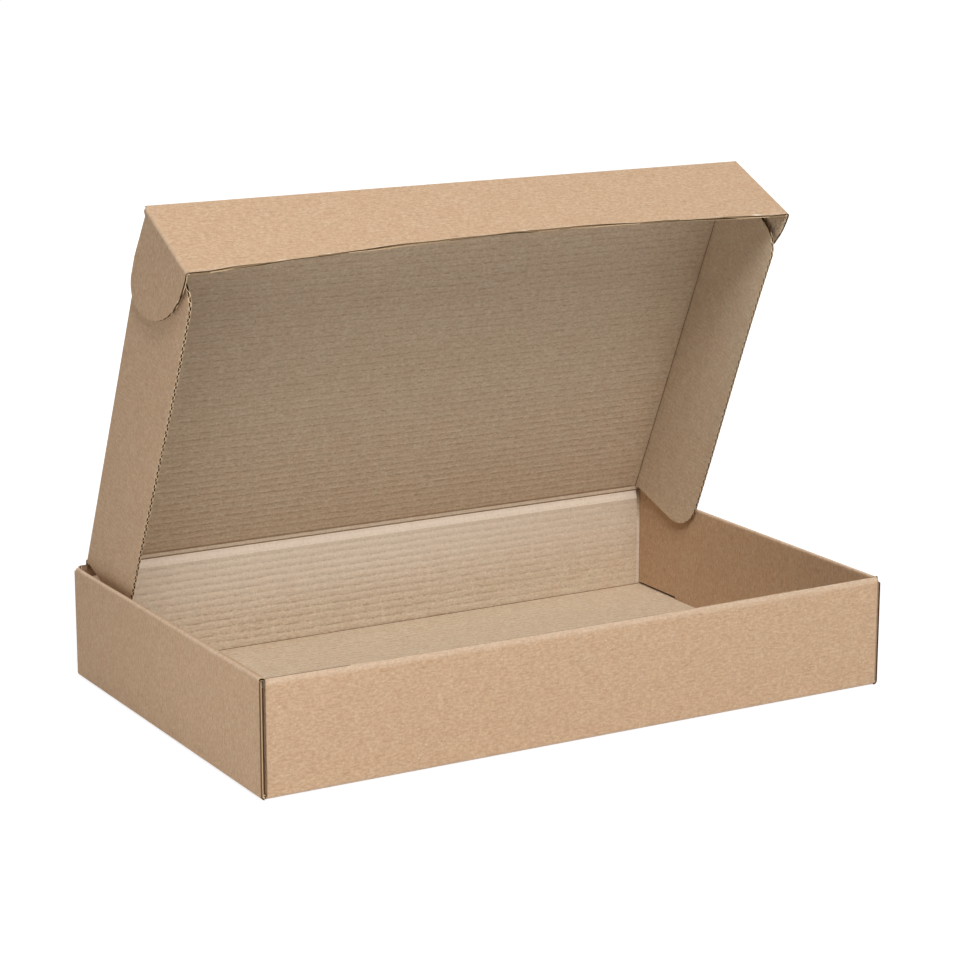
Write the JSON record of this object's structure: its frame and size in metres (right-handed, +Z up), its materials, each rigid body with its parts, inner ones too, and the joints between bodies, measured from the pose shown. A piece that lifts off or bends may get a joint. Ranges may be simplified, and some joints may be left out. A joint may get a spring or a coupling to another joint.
{
  "type": "shipping box",
  "caption": "Shallow corrugated mailing box with roll-over side walls and a hinged lid with side flaps and an eared tuck flap.",
  "frame": {"origin": "centre of the underside of the tray's base, on the surface the box stands on", "axes": "+Z up, +X along the box's length to the right, +Y to the rear, where the lid's hinge is"},
  "size_m": [0.3, 0.187, 0.2189],
  "materials": {
    "kraft_board": "matt unbleached kraft paper on corrugated board"
  },
  "bodies": {
    "tray": {"tray": "kraft_board"},
    "lid": {"lid_panel": "kraft_board"},
    "left_flap": {"left_side_flap": "kraft_board"},
    "right_flap": {"right_side_flap": "kraft_board"},
    "tuck": {"tuck_flap": "kraft_board"},
    "left_ear": {"left_ear": "kraft_board"},
    "right_ear": {"right_ear": "kraft_board"}
  },
  "joints": [
    {"name": "lid_hinge", "type": "hinge", "parent": "tray", "child": "lid", "pos_m": [0, 0.09285, 0.05095], "axis": [1, 0, 0], "range_deg": [-100, 65.4]},
    {"name": "tuck_fold", "type": "hinge", "parent": "lid", "child": "tuck", "pos_m": [0, 0.01623, 0.21829], "axis": [1, 0, 0], "range_deg": [-90, 8]},
    {"name": "left_flap_fold", "type": "hinge", "parent": "lid", "child": "left_flap", "pos_m": [-0.14375, 0.05538, 0.13278], "axis": [0, -0.4163, 0.9092], "range_deg": [0, 60]},
    {"name": "right_flap_fold", "type": "hinge", "parent": "lid", "child": "right_flap", "pos_m": [0.14375, 0.05538, 0.13278], "axis": [0, 0.4163, -0.9092], "range_deg": [0, 60]},
    {"name": "left_ear_fold", "type": "hinge", "parent": "tuck", "child": "left_ear", "pos_m": [-0.14515, -0.00195, 0.20997], "axis": [0, -0.9092, -0.4163], "range_deg": [-90, 0]},
    {"name": "right_ear_fold", "type": "hinge", "parent": "tuck", "child": "right_ear", "pos_m": [0.14515, -0.00195, 0.20997], "axis": [0, 0.9092, 0.4163], "range_deg": [-90, 0]}
  ]
}
